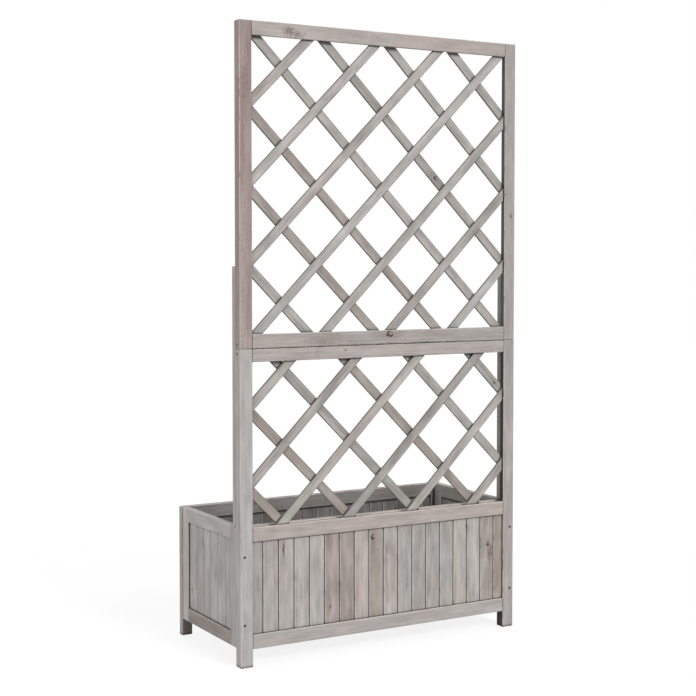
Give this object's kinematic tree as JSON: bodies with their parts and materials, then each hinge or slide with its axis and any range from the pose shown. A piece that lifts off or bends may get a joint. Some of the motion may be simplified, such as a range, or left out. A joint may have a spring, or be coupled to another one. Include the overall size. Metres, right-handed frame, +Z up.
{
  "type": "planter with trellis",
  "caption": "Long timber planter box on corner legs, boarded on all sides, with a tall framed lattice trellis standing on one long side.",
  "frame": {"origin": "on the ground under the middle of the whole planter", "axes": "+Z up; -Y towards the trellis side, +Y towards the open side of the box; +X to the right as seen from the trellis side"},
  "size_m": [0.782, 0.358, 1.5],
  "materials": {
    "washed_fir_frame": "matt grey-white wash over fir, grain and knots showing, paler eased edges",
    "washed_fir_slats": "matt grey wash over fir lath",
    "washed_fir_boards": "matt grey wash over tongue and groove fir, board to board colour variation",
    "washed_fir_floor": "matt grey wash over rough fir",
    "zinc_steel": "dull zinc plate",
    "dowel_wood": "plain bare wood"
  },
  "bodies": {
    "root": {"far_floor_cleat": "washed_fir_floor", "floor_boards": "washed_fir_floor", "left_end_boards": "washed_fir_boards", "left_end_bottom_rail": "washed_fir_frame", "left_end_far_stile": "washed_fir_frame", "left_end_near_stile": "washed_fir_frame", "left_end_top_rail": "washed_fir_frame", "left_post": "washed_fir_frame", "left_splice_batten": "washed_fir_frame", "long_screws": "zinc_steel", "lower_falling_slat_1": "washed_fir_slats", "lower_falling_slat_2": "washed_fir_slats", "lower_falling_slat_3": "washed_fir_slats", "lower_falling_slat_4": "washed_fir_slats", "lower_falling_slat_5": "washed_fir_slats", "lower_falling_slat_6": "washed_fir_slats", "lower_rising_slat_1": "washed_fir_slats", "lower_rising_slat_2": "washed_fir_slats", "lower_rising_slat_3": "washed_fir_slats", "lower_rising_slat_4": "washed_fir_slats", "lower_rising_slat_5": "washed_fir_slats", "lower_rising_slat_6": "washed_fir_slats", "mid_rail": "washed_fir_frame", "near_floor_cleat": "washed_fir_floor", "open_side_boards": "washed_fir_boards", "open_side_bottom_rail": "washed_fir_frame", "open_side_left_leg": "washed_fir_frame", "open_side_right_leg": "washed_fir_frame", "open_side_top_rail": "washed_fir_frame", "rail_dowels": "dowel_wood", "right_end_boards": "washed_fir_boards", "right_end_bottom_rail": "washed_fir_frame", "right_end_far_stile": "washed_fir_frame", "right_end_near_stile": "washed_fir_frame", "right_end_top_rail": "washed_fir_frame", "right_post": "washed_fir_frame", "right_splice_batten": "washed_fir_frame", "short_screws": "zinc_steel", "trellis_side_boards": "washed_fir_boards", "trellis_side_bottom_rail": "washed_fir_frame", "trellis_side_inner_rail": "washed_fir_frame", "trellis_side_top_rail": "washed_fir_frame", "upper_bottom_rail": "washed_fir_frame", "upper_falling_slat_1": "washed_fir_slats", "upper_falling_slat_2": "washed_fir_slats", "upper_falling_slat_3": "washed_fir_slats", "upper_falling_slat_4": "washed_fir_slats", "upper_falling_slat_5": "washed_fir_slats", "upper_falling_slat_6": "washed_fir_slats", "upper_falling_slat_7": "washed_fir_slats", "upper_left_stile": "washed_fir_frame", "upper_right_stile": "washed_fir_frame", "upper_rising_slat_1": "washed_fir_slats", "upper_rising_slat_2": "washed_fir_slats", "upper_rising_slat_3": "washed_fir_slats", "upper_rising_slat_4": "washed_fir_slats", "upper_rising_slat_5": "washed_fir_slats", "upper_rising_slat_6": "washed_fir_slats", "upper_rising_slat_7": "washed_fir_slats", "upper_top_rail": "washed_fir_frame"}
  },
  "joints": []
}
